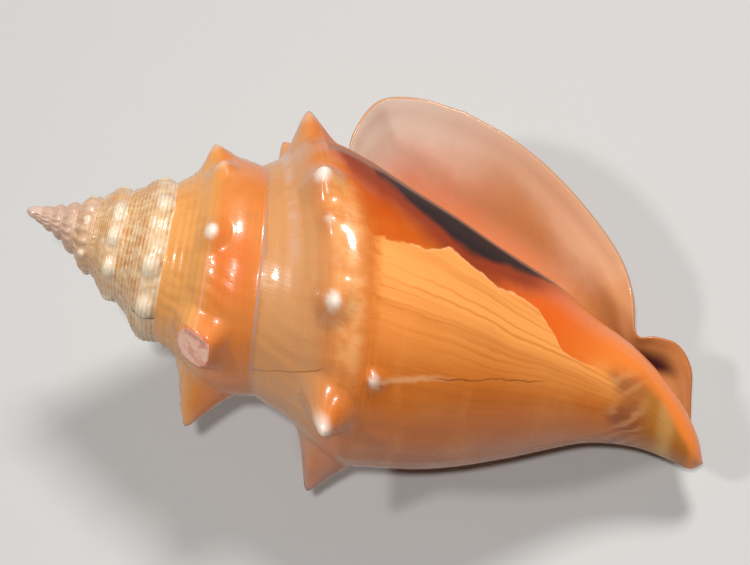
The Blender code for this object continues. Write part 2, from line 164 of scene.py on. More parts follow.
# blunt white knobs of the spire: turn, column, row, height, half width
KNOBS = [
    (5, 3, 2.8, 0.15, 0.9), (5, 10, 2.8, 0.15, 0.9), (5, 17, 2.8, 0.15, 0.9),
    (5, 25, 2.6, 0.15, 0.9), (5, 34, 2.6, 0.2, 1.0), (5, 42, 2.6, 0.2, 1.0),
    (6, 1, 2.9, 0.15, 1.3), (6, 8, 3.4, 0.6, 1.6), (6, 11.5, 3.4, 0.55, 1.5),
    (6, 16, 3.4, 0.55, 1.6), (6, 22, 3.1, 0.3, 1.4), (6, 29, 2.9, 0.3, 1.4),
    (6, 35, 2.9, 0.35, 1.4), (6, 41, 2.8, 0.35, 1.4), (7, 1, 2.8, 0.2, 1.6),
    (7, 7, 3.3, 0.7, 2.0), (7, 13, 3.15, 0.75, 2.0), (7, 17.5, 3.2, 0.75, 2.0),
    (7, 24, 2.6, 0.35, 1.9), (7, 31, 2.4, 0.6, 2.1), (7, 37, 2.3, 0.7, 2.1),
    (7, 43, 2.2, 0.8, 2.3),
]

# broken spine: turn, column, height if whole, half width, height of the break
BROKEN_SPINE = (8, 16.9, 6.0, 4.2, 2.05)

# small knob below the band: turn, column, height, half width
SIDE_KNOB = (9, 14.5, 0.9, 1.8)
TIP_ROUNDING = 0.12

# fine relief: heights, and how many to a turn or a row
CORD_HEIGHT = 0.17
RAMP_CORD_HEIGHT = 0.08
FAINT_CORD_HEIGHT = 0.03
CORDS_PER_ROW = 3.0
BEADS_PER_TURN = 48.0
RIB_HEIGHT = 0.34
RIBS_PER_TURN = 19.0
WHORL_ROUNDING = 0.16
FOLD_HEIGHT = 0.045
FOLDS_PER_TURN = 41.0
UNEVENNESS = 0.05

# jagged edge of the callus beside the aperture, and edge of its strip of painted shade: row, turn
CALLUS_EDGE = [
    (2.5, 9.07), (2.8, 9.10), (3.0, 9.125), (3.3, 9.152), (3.6, 9.165), (4.04, 9.165),
    (4.12, 9.156), (4.16, 9.146), (4.18, 9.137), (4.22, 9.146), (4.26, 9.149), (4.30, 9.157),
    (4.34, 9.148), (4.38, 9.150), (4.41, 9.168), (4.44, 9.195), (4.50, 9.203), (4.58, 9.182),
    (4.66, 9.156), (4.72, 9.160), (4.78, 9.215), (4.86, 9.25), (5.0, 9.30),
]
SHADE_STRIP_EDGE = [
    (2.7, 9.03), (3.1, 9.065), (3.5, 9.075), (3.9, 9.082), (4.04, 9.090), (4.10, 9.103),
    (4.16, 9.118), (4.20, 9.130), (4.24, 9.131), (4.28, 9.122), (4.32, 9.108), (4.38, 9.088),
    (4.48, 9.05), (4.6, 9.0),
]

# cracks: slopes are turns that a crack drifts back for each row; the ramp crack starts at
# its turn on the suture, and the spire crack keeps to one turn value
LONG_CRACK_SLOPE = 0.105
RAMP_CRACK_TURN = 9.379
RAMP_CRACK_SLOPE = 0.037
SPIRE_CRACK_TURN = 7.385

# colours, linear red, green and blue: last whorl
RAMP_TAN = (0.60, 0.28, 0.11)
FLANK_ORANGE = (0.62, 0.155, 0.022)
BRIGHT_PEACH = (0.95, 0.36, 0.085)
LOWER_ORANGE = (0.60, 0.155, 0.018)
# underside: partly the shell's own brown, partly painted shade
UNDER_BROWN_AND_SHADE = (0.34, 0.085, 0.016)
GROWTH_BROWN = (0.46, 0.11, 0.014)
SPIRAL_PEACH = (0.80, 0.34, 0.09)
LINE_ORANGE = (0.58, 0.155, 0.02)
LINE_BROWN = (0.40, 0.10, 0.014)
PATCH_ORANGE = (0.76, 0.30, 0.07)
SHOULDER_TAN = (0.78, 0.36, 0.12)
SHOULDER_PALE = (0.84, 0.46, 0.19)
RAMP_LILAC = (0.64, 0.42, 0.32)

# the whorl before
BEFORE_RAMP = (0.72, 0.32, 0.09)
BEFORE_FLANK = (0.68, 0.20, 0.04)
BEFORE_RED = (0.74, 0.14, 0.02)
BEFORE_PALE = (0.84, 0.48, 0.25)
BEFORE_BROWN = (0.55, 0.19, 0.04)
BEFORE_THREAD = (0.80, 0.42, 0.16)
KEEL_PINK = (0.78, 0.34, 0.20)

# spire, knobs, spine tips and suture
SPIRE_CREAM = (0.68, 0.44, 0.23)
SPIRE_ORANGE = (0.60, 0.27, 0.07)
GROOVE_BROWN = (0.38, 0.13, 0.025)
THREAD_CREAM = (0.74, 0.50, 0.29)
FLECK_CREAM = (0.78, 0.62, 0.43)
BLOTCH_ORANGE = (0.62, 0.27, 0.07)
BAND_CREAM = (0.80, 0.65, 0.45)
APEX_BROWN = (0.50, 0.30, 0.21)
APEX_PINK = (0.72, 0.54, 0.45)
KNOB_WHITE = (0.82, 0.69, 0.51)
THORN_WHITE = (0.88, 0.72, 0.60)
SPINE_MAUVE = (0.40, 0.21, 0.17)
SUTURE_BROWN = (0.45, 0.17, 0.06)
SUTURE_LILAC = (0.42, 0.26, 0.25)

# folds by the siphonal end
FOLD_MAUVE = (0.27, 0.08, 0.035)
FOLD_CREAM = (0.48, 0.22, 0.09)
FOLD_ORANGE = (0.42, 0.125, 0.02)
OLIVE_DARK = (0.36, 0.13, 0.02)
# pale spot on the olive lobe: painted highlight
OLIVE_HIGHLIGHT = (0.54, 0.31, 0.10)
END_ORANGE = (0.66, 0.20, 0.035)

# callus and cracks
GLAZE_BURNT = (0.55, 0.085, 0.007)
GLAZE_RED = (0.80, 0.13, 0.012)
GLAZE_PATCH = (0.72, 0.19, 0.02)
GLAZE_ORANGE = (0.93, 0.24, 0.035)
# maroon and black: painted shade where the glaze turns away by the silhouette
GLAZE_MAROON_SHADE = (0.30, 0.034, 0.003)
GLAZE_BLACK_SHADE = (0.016, 0.003, 0.004)
# pale line on the glaze's jagged edge: painted highlight of its small step
GLAZE_EDGE_HIGHLIGHT = (0.93, 0.52, 0.24)
WALL_PINK = (0.60, 0.20, 0.09)
# grey mauve: painted reflection of the lip on the wall by the silhouette
WALL_MAUVE_REFLECTION = (0.34, 0.17, 0.12)
CRACK_PALE = (0.86, 0.50, 0.26)
CRACK_BROWN = (0.22, 0.06, 0.02)
CRACK_TAN = (0.26, 0.08, 0.02)
CRACK_BLACK = (0.06, 0.03, 0.02)

# lip and break
RIM_TAN = (0.56, 0.29, 0.16)
LIP_CREAM = (0.98, 0.86, 0.72)
LIP_PEACH = (0.90, 0.53, 0.31)
LIP_SALMON = (0.85, 0.30, 0.125)
LIP_TAN = (0.62, 0.25, 0.065)
LIP_BROWN = (0.66, 0.26, 0.075)
DEEP_PINK = (0.50, 0.14, 0.07)
NOTCH_BROWN = (0.56, 0.20, 0.055)
# painted shade deep in the canal by the lobe
CANAL_SHADE_BLACK = (0.06, 0.014, 0.016)
SCAR_PINK = (0.84, 0.50, 0.37)
SCAR_RED = (0.66, 0.26, 0.17)
SCAR_EDGE = (0.74, 0.17, 0.05)

# stage; lights: name, place from the shell in metres (image right, image up, towards the
# camera), width in metres, power in watts
FLOOR_HALF = 3.0
FLOOR_PALE = (0.54, 0.53, 0.515)
FLOOR_ROUGHNESS = 0.8
WORLD_COLOUR = (1.0, 0.98, 0.96)
WORLD_STRENGTH = 0.06
LIT_POINT = (0.0, 0.0, 0.02)
LIGHTS = [
    ("key", (0.06, 0.43, 0.38), 0.14, 2.4), ("left", (-0.33, 0.10, 0.36), 0.06, 0.7),
    ("flash", (-0.02, 0.03, 0.34), 0.02, 0.55),
]


def through(xs, ys, x):
    """Smooth curve through the points xs, ys, read at x."""
    xs = np.asarray(xs, float)
    ys = np.asarray(ys, float)
    single = ys.ndim == 1
    if single:
        ys = ys[:, None]
    x = np.atleast_1d(np.asarray(x, float))
    step = np.diff(xs)
    rise = np.diff(ys, axis=0) / step[:, None]
    slope = np.zeros_like(ys)
    weighted = rise[:-1] * step[1:, None] + rise[1:] * step[:-1, None]
    slope[1:-1] = weighted / (step[1:] + step[:-1])[:, None]
    slope[0] = rise[0]
    slope[-1] = rise[-1]
    i = np.clip(np.searchsorted(xs, x, side="right") - 1, 0, len(step) - 1)
    t = ((x - xs[i]) / step[i])[:, None]
    width = step[i][:, None]
    value = (2 * t**3 - 3 * t**2 + 1) * ys[i] + (3 * t**2 - 2 * t**3) * ys[i + 1]
    value = value + width * ((t**3 - 2 * t**2 + t) * slope[i] + (t**3 - t**2) * slope[i + 1])
    return value[:, 0] if single else value


def ease(x):
    x = np.clip(x, 0.0, 1.0)
    return x * x * (3.0 - 2.0 * x)


def centre_shift(a):
    """The siphonal end bends away from the coiling axis."""
    past = (np.asarray(a, float) - SIPHON_BEND_START) / (LENGTH - SIPHON_BEND_START)
    return SIPHON_BEND * np.clip(past, 0.0, None) ** SIPHON_BEND_POWER


def to_point(a, radius, turn):
    angle = 2.0 * math.pi * np.asarray(turn)
    return np.stack([a, radius * np.cos(angle) + centre_shift(a), radius * np.sin(angle)], -1)


def suture(turn):
    table = np.array(SUTURE)
    return through(table[:, 0], table[:, 1:], turn)


def band_edge(turn):
    table = np.array(BAND_EDGE)
    edge = suture(np.clip(turn + 1.0, 0.0, LIP_TURN))
    late = through(table[:, 0], table[:, 1:], np.clip(turn, table[0, 0], table[-1, 0]))
    last = turn > BODY_TURN
    edge[last] = late[last]
    return edge


def band_controls(turn):
    """Suture, ramp, crest, flank and lower edge of the band at each turn value."""
    top = suture(turn)
    bottom = band_edge(turn)
    across = bottom - top
    width = np.linalg.norm(across, axis=1)[:, None]
    along = across / width
    out = np.stack([-along[:, 1], along[:, 0]], 1)
    table = np.array(SHOULDER)
    late = through(table[:, 0], table[:, 1:], np.clip(turn, table[0, 0], table[-1, 0]))
    swell = (out * width) * ease((turn - SWELL_START_TURN) / 0.6)[:, None]
    early = top + across * 0.55 + swell * 0.11
    blend = ease((turn - 7.3) / 0.7)[:, None]
    crest = early * (1.0 - blend) + late * blend
    ramp = top + (crest - top) * 0.5 - swell * 0.035
    flank = crest + (bottom - crest) * 0.5 + swell * 0.05
    return np.stack([top, ramp, crest, flank, bottom], 1)


def table_read(table, turn, shares):
    """Distance and radius from a table of curves, between its turns and along each curve."""
    turns = [row[0] for row in table]
    curves = [through(np.linspace(0, 1, len(row[1])), row[1], shares) for row in table]
    flat = np.array(curves).reshape(len(turns), -1)
    read = through(turns, flat, np.clip(turn, turns[0], turns[-1]))
    return read.reshape(len(turn), len(shares), 2)


def surface(turn, rows):
    """Points of the smooth outer surface; rows run 0 to 4 over the band, 4 to 5 over the base."""
    turn = np.atleast_1d(np.asarray(turn, float))
    rows = np.asarray(rows, float)
    band_part = rows[rows <= 4.0]
    base_part = rows[rows > 4.0] - 4.0
    controls = band_controls(turn)
    shape = np.array([through(np.arange(5), one, band_part) for one in controls])
    if len(base_part):
        shape = np.concatenate([shape, table_read(BASE, turn, base_part)], 1)
    grid = np.repeat(turn[:, None], len(rows), 1)
    cyl = np.concatenate([shape, grid[:, :, None]], 2)
    if turn.max() > FLARE_START_TURN:
        edge = lip_edge(band_part, base_part)
        even = np.clip((turn - FLARE_START_TURN) / (LIP_TURN - FLARE_START_TURN), 0, 1)[:, None]
        share = (0.65 * even + 0.35 * ease(even))[:, :, None]
        swung = FLARE_START_TURN + (edge[None, :, 2] - FLARE_START_TURN) * even
        cyl = cyl * (1.0 - share) + edge[None] * share
        cyl[..., 2] = np.where(turn[:, None] > FLARE_START_TURN, swung, grid)
    return to_point(cyl[..., 0], cyl[..., 1], cyl[..., 2])


def lip_edge(band_part, base_part):
    """Distance, radius and turn along the lip edge at the given rows."""
    points = np.array(LIP_EDGE)
    b = points[:, 1] - centre_shift(points[:, 0])
    c = points[:, 2]
    turn = np.arctan2(c, b) / (2.0 * math.pi) + 10.0
    turn[-1] = LIP_TURN
    edge = np.stack([points[:, 0], np.hypot(b, c), turn], 1)
    parts = [through(np.arange(5), edge[:5], band_part)]
    if len(base_part):
        parts.append(through(np.linspace(0, 1, len(edge) - 4), edge[4:], base_part))
    return np.concatenate(parts)


def row_values(band_rows, base_rows):
    band = np.linspace(0.0, 4.0, band_rows + 1)
    base = 4.0 + np.linspace(0.0, 1.0, base_rows + 1)[1:]
    return np.concatenate([band, base])


def unit(vectors):
    return vectors / np.maximum(np.linalg.norm(vectors, axis=-1, keepdims=True), 1e-9)


def normals(turn, rows):
    """Outward directions of the surface, from small steps along and across it."""
    small = 0.002
    rows_low = np.clip(rows - 0.01, 0.0, 5.0)
    rows_high = np.clip(rows + 0.01, 0.0, 5.0)
    along = surface(np.minimum(turn + small, LIP_TURN), rows) - surface(turn - small, rows)
    across = surface(turn, rows_high) - surface(turn, rows_low)
    out = unit(np.cross(along, across))
    # more passes on a finer grid, so that the same width is smoothed
    for _ in range(3 * len(rows) // 22):
        out[:, 1:-1] = (out[:, :-2] + 2.0 * out[:, 1:-1] + out[:, 2:]) / 4.0
    return unit(out)


def spine_root(turn, row):
    centre = surface([turn], [row])[0, 0]
    angle = 2.0 * math.pi * turn
    return centre, np.array([0.0, math.cos(angle), math.sin(angle)])


def ripple(points, size):
    """Uneven small value from -1 to 1 over space, with features of about the given size."""
    p = points / size
    first = np.sin(p[..., 0] * 1.7 + np.sin(p[..., 1] * 2.3) * 1.4)
    second = np.sin(p[..., 1] * 1.9 + np.sin(p[..., 2] * 2.1 + 0.7) * 1.5)
    third = np.sin(p[..., 2] * 2.2 + np.sin(p[..., 0] * 1.6 + 1.9) * 1.3)
    return (first + second + third) / 3.0


def spine_lift(points):
    """Move of each surface point by the spines near it, and their tip, break and knob weights."""
    lift = np.zeros_like(points)
    marks = np.zeros_like(points)
    for turn, column, height, width, lean, pale in SPINES:
        centre, out = spine_root(turn + column / SPINE_COLUMNS, 2.0)
        reach = np.linalg.norm(points - centre, axis=-1) / width
        blunt = np.sqrt(reach * reach + TIP_ROUNDING**2) - TIP_ROUNDING
        share = np.clip(1.0 - blunt / (1.0 - TIP_ROUNDING), 0.0, 1.0) ** 1.4
        tip = ease((share - 0.52) / 0.33) * pale
        marks[..., 0] = np.maximum(marks[..., 0], tip)
        lift += (height * share)[..., None] * (out + np.array([lean, 0.0, 0.0]))
    for turn, column, row, height, width in KNOBS:
        centre, out = spine_root(turn + column / SPINE_COLUMNS, row)
        away = (points - centre) * np.array([1.15, 0.85, 0.85])
        share = ease(1.15 * (1.0 - np.linalg.norm(away, axis=-1) / width))
        marks[..., 2] = np.maximum(marks[..., 2], ease((share - 0.12) / 0.6))
        lift += (height * share)[..., None] * out
    turn, column, height, width, cut = BROKEN_SPINE
    centre, out = spine_root(turn + column / SPINE_COLUMNS, 2.0)
    away = points - centre
    aside = np.linalg.norm(away[..., 1:], axis=-1)
    reach = (away[..., 0] ** 4 + aside ** 4) ** 0.25 / width
    whole = height * np.clip(1.0 - reach, 0.0, 1.0) ** 1.35
    rough = cut + 0.1 * ripple(points, 0.7) - 0.3 * ease((whole - cut) / 1.5)
    lift += np.minimum(whole, rough)[..., None] * out
    marks[..., 1] = np.maximum(marks[..., 1], ease((whole - cut + 0.05) / 0.4))
    turn, column, height, width = SIDE_KNOB
    centre, out = spine_root(turn + column / SPINE_COLUMNS, 4.0)
    reach = np.linalg.norm(points - centre, axis=-1) / width
    share = ease(1.0 - np.sqrt(reach * reach + 0.01))
    marks[..., 0] = np.maximum(marks[..., 0], 0.8 * ease((share - 0.45) / 0.4))
    lift += (height * share)[..., None] * out
    return lift, marks


def relief(turn, row, points):
    """Height of the cords, ribs and growth folds over the smooth surface."""
    last = turn > BODY_TURN
    seam = ease(row / 0.3) * np.where(last, 1.0, ease((4.0 - row) / 0.25))
    band = np.linalg.norm(band_edge(turn[:, 0]) - suture(turn[:, 0]), axis=1)[:, None]
    size = np.clip(band / 5.5, 0.12, 1.0)
    early = 1.0 - ease((turn - 7.75) / 0.5)
    ramp = (1.0 - ease((turn - 8.5) / 0.7)) * (1.0 - ease((row - 1.5) / 0.8))
    cords = 0.5 + 0.5 * np.cos(2.0 * math.pi * row * CORDS_PER_ROW)
    uneven = 0.75 + 0.25 * np.sin(row * 4.7 + turn * 9.0)
    sway = 3.0 * np.sin(row * 7.0 + turn)
    beads = 0.6 + 0.4 * np.sin(2.0 * math.pi * turn * BEADS_PER_TURN + sway)
    height = CORD_HEIGHT * early * beads + RAMP_CORD_HEIGHT * ramp * (1.0 - early)
    height = size * cords * uneven * height
    height += FAINT_CORD_HEIGHT * cords * (1.0 - early) * (1.0 - ease((row - 1.6) / 0.5))
    ribs = (0.5 + 0.5 * np.cos(2.0 * math.pi * turn * RIBS_PER_TURN + 0.6 * row)) ** 1.4
    over = ease(row / 0.8) * ease((3.8 - row) / 0.9)
    height += RIB_HEIGHT * size * ribs * over * (1.0 - ease((turn - 5.7) / 0.7))
    rounding = np.sin(np.clip(row, 0.0, 4.0) * math.pi / 4.0)
    height += WHORL_ROUNDING * size * rounding * (1.0 - ease((turn - 7.2) / 0.6))
    slow = turn * FOLDS_PER_TURN + 0.8 * np.sin(turn * 13.0)
    slow = slow + 0.35 * np.sin(row * 2.1 + turn * 5.0)
    folds = np.sin(2.0 * math.pi * slow) * (0.5 + 0.5 * np.sin(turn * 31.0 + row))
    late = ease((turn - 7.6) / 0.8)
    height += FOLD_HEIGHT * folds * late * (1.0 - 0.55 * ease((row - 2.4) / 1.0))
    height += UNEVENNESS * ripple(points, 3.0) * late
    return height * seam


def paint_marks(places):
    """For each face corner: how far inside the callus, inside its strip of painted shade, and the
    fasciole.
    """
    turn, row, inner = places.T
    last = turn > BODY_TURN - 0.001
    callus = np.interp(row, *np.array(CALLUS_EDGE).T) - turn
    dark = np.interp(row, *np.array(SHADE_STRIP_EDGE).T) - turn
    fold = ease((row - 4.54 - 0.015 * np.sin(turn * 60.0)) / 0.06)
    below = row < 2.5
    callus = np.where(last & ~below, callus, -1.0)
    dark = np.where(last & ~below, dark, -1.0)
    return np.stack([callus, dark, fold * (inner < 0.5)], 1)


class Skin:
    """Points, faces and, for each face corner, its turn, row and depth inside."""

    def __init__(self):
        self.points = []
        self.marks = []
        self.faces = []
        self.places = []

    def add(self, point, mark=(0.0, 0.0, 0.0)):
        self.points.append(tuple(point))
        self.marks.append(tuple(mark))
        return len(self.points) - 1

    def face(self, corners, places):
        kept = []
        for corner, where in zip(corners, places):
            if corner not in [k[0] for k in kept]:
                kept.append((corner, where))
        if len(kept) > 2:
            self.faces.append(tuple(k[0] for k in kept))
            self.places.extend(k[1] for k in kept)

    def strip(self, first, first_places, second, second_places):
        for k in range(len(first) - 1):
            places = (first_places[k], first_places[k + 1], second_places[k + 1], second_places[k])
            self.face((first[k], first[k + 1], second[k + 1], second[k]), places)


def outside(skin, rows):
    """Every whorl of the outside, each sewn to the one before."""
    first = int(GRID_START_TURN * COLUMNS_PER_TURN)
    lip = int(round(LIP_TURN * COLUMNS_PER_TURN))
    body = lip - COLUMNS_PER_TURN
    tip = skin.add(to_point(LENGTH, 0.0, 0.0))
    columns = {}
    blocks = {}
    for low, high, used in ((first, body, rows[:BAND_ROWS + 1]), (body, lip + 1, rows)):
        turns = np.minimum(np.arange(low, high) / COLUMNS_PER_TURN, LIP_TURN)
        smooth = surface(turns, used)
        lift, marks = spine_lift(smooth)
        grid_turn = np.repeat(turns[:, None], len(used), 1)
        grid_row = np.repeat(used[None], len(turns), 0)
        along = np.gradient(smooth, axis=0)
        across = np.gradient(smooth, axis=1)
        out = unit(np.cross(along, across))
        height = relief(grid_turn, grid_row, smooth)
        height *= (1.0 - ease((grid_turn - FLARE_START_TURN) / 0.12)) * (1.0 - marks[..., 0])
        height *= 1.0 - ease((grid_row - 4.85) / 0.1)
        raised = smooth + out * height[..., None]
        raised += lift * (1.0 - ease((grid_turn - LIP_TURN + 0.03) / 0.03))[..., None]
        for k, i in enumerate(range(low, high)):
            blocks[i] = (raised[k], marks[k])
    for i in range(lip, first - 1, -1):
        points, marks = blocks[i]
        column = [skin.add(p, m) for p, m in zip(points[:BAND_ROWS], marks[:BAND_ROWS])]
        if i <= body:
            column.append(columns[i + COLUMNS_PER_TURN][0])
        else:
            column.append(skin.add(points[BAND_ROWS], marks[BAND_ROWS]))
        if i >= body:
            column += [skin.add(p, m) for p, m in
                       zip(points[BAND_ROWS + 1:-1], marks[BAND_ROWS + 1:-1])]
            column.append(tip)
        columns[i] = column
    for i in range(first, lip):
        n = min(len(columns[i]), len(columns[i + 1]))
        here = [(i / COLUMNS_PER_TURN, rows[j], 0.0) for j in range(n)]
        after = [((i + 1) / COLUMNS_PER_TURN, rows[j], 0.0) for j in range(n)]
        skin.strip(columns[i][:n], here, columns[i + 1][:n], after)
    ring = [columns[first][j] for j in range(BAND_ROWS, 0, -1)]
    ring += [columns[i][0] for i in range(first, first + COLUMNS_PER_TURN + 1)]
    close_apex(skin, ring)
    return columns[lip], columns[body], tip


def close_apex(skin, ring):
    """Small round cap over the first turn, from its ring of points to the apex."""
    base = np.array([skin.points[v] for v in ring])
    place = (GRID_START_TURN, 1.0, 0.0)
    outer = ring
    for step in range(APEX_STEPS - 1, 0, -1):
        angle = 0.5 * math.pi * step / APEX_STEPS
        scale = np.array([1.0 - math.cos(angle), math.sin(angle), math.sin(angle)])
        inner = [skin.add(p) for p in base[:-1] * scale]
        inner.append(inner[0])
        places = [place] * len(ring)
        skin.strip(outer, places, inner, places)
        outer = inner
    apex = skin.add((0.0, 0.0, 0.0))
    for k in range(len(outer) - 1):
        skin.face((apex, outer[k], outer[k + 1]), (place, place, place))


def hollow_column(turn, rows, depth):
    """Points of the hollow at one turn value: under the outer wall, then on the inner side."""
    shares = np.linspace(0.0, 1.0, BASE_ROWS + 1)
    inner = table_read(INNER_SIDE, np.array([turn]), shares)[0]
    inner_points = to_point(inner[:, 0], inner[:, 1], np.full(len(shares), turn))
    fine = np.linspace(0.0, 1.0, 101)
    reach = surface([turn], 4.0 + fine[1:])[0][:, 0]
    end = np.interp(inner[-1, 0] + 0.4, reach, fine[1:])
    used = np.where(rows > 4.0, 4.0 + (rows - 4.0) * end, rows)
    wall = surface([turn], used)[0]
    out = normals(np.array([turn]), used)[0]
    thickness = LIP_THICKNESS + (WALL_THICKNESS - LIP_THICKNESS) * ease(depth * 3.0)
    thickness = thickness * (1.0 - 0.35 * ease((rows - 4.4) / 0.15))
    thickness = thickness * ease((5.0 - used) / 0.3)
    thickness = thickness * (0.34 + 0.66 * ease(depth * HOLLOW_COLUMNS / 3.0))
    if depth == 0.0:
        thickness = thickness * ease(rows / 0.9)
    outer_points = wall - out * thickness[:, None]
    outer_points[0] = inner_points[0]
    outer_points[-1] = inner_points[-1]
    return outer_points, inner_points


def hollow(skin, lip_column, start_column, tip, rows):
    """Rounded lip rim, inside of the lip, and the hollow with its closed inner end."""
    start_rows = rows[BAND_ROWS:]
    under, _ = hollow_column(LIP_TURN, rows, 0.0)
    edge = np.array([skin.points[v] for v in lip_column])
    forward = unit(surface([LIP_TURN], rows)[0] - surface([LIP_TURN - 0.004], rows)[0])
    gap = np.linalg.norm(edge - under, axis=1)
    line = lip_column
    for step in range(1, RIM_STEPS + 1):
        angle = math.pi * step / RIM_STEPS
        mix = 0.5 - 0.5 * math.cos(angle)
        points = edge * (1.0 - mix) + under * mix
        points = points + forward * (gap * 0.3 * math.sin(angle))[:, None]
        following = [lip_column[0]] + [skin.add(p) for p in points[1:-1]] + [tip]
        before = [(LIP_TURN, r, (step - 1.0) / RIM_STEPS) for r in rows]
        after = [(LIP_TURN, r, step / RIM_STEPS) for r in rows]
        skin.strip(line, before, following, after)
        line = following
    wall, floor = line, start_column[BAND_ROWS:]
    wall_places = [(LIP_TURN, r, 1.0) for r in rows]
    floor_places = [(BODY_TURN, r, 0.0) for r in start_rows]
    for k in range(1, HOLLOW_COLUMNS + 1):
        depth = k / HOLLOW_COLUMNS
        turn = LIP_TURN + (HOLLOW_END_TURN - LIP_TURN) * depth
        outer_points, inner_points = hollow_column(turn, rows, depth)
        next_wall = [skin.add(point) for point in outer_points]
        next_floor = [next_wall[0]] + [skin.add(p) for p in inner_points[1:-1]] + [next_wall[-1]]
        next_wall_places = [(turn, r, 1.0 + depth) for r in rows]
        next_floor_places = [(turn - 1.0, r, min(1.0, k / 4.0) + depth) for r in start_rows]
        skin.strip(wall, wall_places, next_wall, next_wall_places)
        skin.strip(next_floor, next_floor_places, floor, floor_places)
        wall, floor = next_wall, next_floor
        wall_places, floor_places = next_wall_places, next_floor_places
    close_between(skin, wall, floor)


def close_between(skin, wall, floor):
    """Flat end of the hollow, between two lines that share their end points."""
    i, j = 0, 0
    deep = (HOLLOW_END_TURN, 4.0, 2.0)
    while i < len(wall) - 1 or j < len(floor) - 1:
        next_i = (i + 1) / (len(wall) - 1)
        next_j = (j + 1) / (len(floor) - 1)
        if i < len(wall) - 1 and (next_i <= next_j or j == len(floor) - 1):
            corners = (wall[i], wall[i + 1], floor[j])
            i += 1
        else:
            corners = (wall[i], floor[j + 1], floor[j])
            j += 1
        skin.face(corners, (deep, deep, deep))


up = Vector(REST_UP).normalized()
ahead = (Vector((1.0, 0.0, 0.0)) - up * up.x).normalized()
TO_REST = Matrix((ahead, up.cross(ahead), up))


def rest_point(point):
    return TO_REST @ (Vector(point) * MM) - Vector(REST_ORIGIN)


def make_shell():
    rows = row_values(BAND_ROWS, BASE_ROWS)
    skin = Skin()
    lip_column, start_column, tip = outside(skin, rows)
    hollow(skin, lip_column, start_column, tip, rows)
    turned = np.array(skin.points) * MM @ np.array(TO_REST).T - np.array(REST_ORIGIN)
    low, high = (list(corner) for corner in cad_bounds)
    turned = np.clip(turned, low, high)
    mesh = bpy.data.meshes.new("conch_shell")
    mesh.from_pydata([tuple(p) for p in turned], [], skin.faces)
    place = mesh.attributes.new("place", "FLOAT_VECTOR", "CORNER")
    place.data.foreach_set("vector", np.array(skin.places, np.float32).ravel())
    paint = mesh.attributes.new("paint", "FLOAT_VECTOR", "CORNER")
    paint.data.foreach_set("vector", paint_marks(np.array(skin.places)).astype(np.float32).ravel())
    marks = mesh.attributes.new("marks", "FLOAT_VECTOR", "POINT")
    marks.data.foreach_set("vector", np.array(skin.marks, np.float32).ravel())
    work = bmesh.new()
    work.from_mesh(mesh)
    bmesh.ops.recalc_face_normals(work, faces=work.faces[:])
    work.to_mesh(mesh)
    work.free()
    mesh.polygons.foreach_set("use_smooth", [True] * len(mesh.polygons))
    made = bpy.data.objects.new("conch_shell", mesh)
    bpy.context.scene.collection.objects.link(made)
    return made


class Paint:
    """Short ways to lay down the nodes of one material."""

    def __init__(self, name):
        self.material = bpy.data.materials.new(name)
        self.material.use_nodes = True
        self.tree = self.material.node_tree
        self.shader = self.tree.nodes["Principled BSDF"]

    def node(self, kind, inputs=(), out=0, **settings):
        made = self.tree.nodes.new(kind)
        for key, value in settings.items():
            setattr(made, key, value)
        for key, value in dict(inputs).items():
            self.feed(made.inputs[key], value)
        return made.outputs[out]

    def feed(self, socket, value):
        if isinstance(value, bpy.types.NodeSocket):
            self.tree.links.new(value, socket)
        elif isinstance(value, tuple) and len(value) == 3 and socket.type == "RGBA":
            socket.default_value = (*value, 1.0)
        else:
            socket.default_value = value

    def parts(self, attribute):
        """The three numbers of a named vector attribute."""
        made = self.node("ShaderNodeAttribute", out=1, attribute_name=attribute)
        return self.node("ShaderNodeSeparateXYZ", {0: made}).node.outputs

    def math(self, operation, first, second=0.0, third=0.0):
        return self.node("ShaderNodeMath", {0: first, 1: second, 2: third}, operation=operation)

    def rise(self, value, low, high, top=1.0):
        """0 below low, top above high, smooth between."""
        return self.node("ShaderNodeMapRange", {"Value": value, "From Min": low, "From Max": high,
                                                "To Min": 0.0, "To Max": top},
                         interpolation_type="SMOOTHSTEP")

    def fall(self, value, low, high, top=1.0):
        return self.node("ShaderNodeMapRange", {"Value": value, "From Min": low, "From Max": high,
                                                "To Min": top, "To Max": 0.0},
                         interpolation_type="SMOOTHSTEP")

    def both(self, *values):
        total = values[0]
        for value in values[1:]:
            total = self.math("MULTIPLY", total, value)
        return total

    def spot(self, value, centre, half):
        """1 at centre, 0 from half away."""
        away = self.math("ABSOLUTE", self.math("SUBTRACT", value, centre))
        return self.fall(away, 0.0, half)

    def grain(self, vector, scale, detail, roughness=0.55):
        return self.node("ShaderNodeTexNoise", {"Vector": vector, "Scale": scale, "Detail": detail,
                                                "Roughness": roughness})

    def stretched(self, turn, per_turn, row, per_row, detail, roughness):
        """Noise with its own number of features to a turn and to a row."""
        place = self.node("ShaderNodeCombineXYZ", {0: self.math("MULTIPLY", turn, per_turn),
                                                   1: self.math("MULTIPLY", row, per_row)})
        return self.grain(place, 1.0, detail, roughness)

    def scatter(self, noise, amount):
        """Noise moved to lie about zero, times amount."""
        return self.math("MULTIPLY", self.math("SUBTRACT", noise, 0.5), amount)

    def over(self, share, under, above):
        """Colour above laid over colour under."""
        made = self.tree.nodes.new("ShaderNodeMix")
        made.data_type = "RGBA"
        self.feed(made.inputs[0], share)
        self.feed(made.inputs[6], under)
        self.feed(made.inputs[7], above)
        return made.outputs[2]


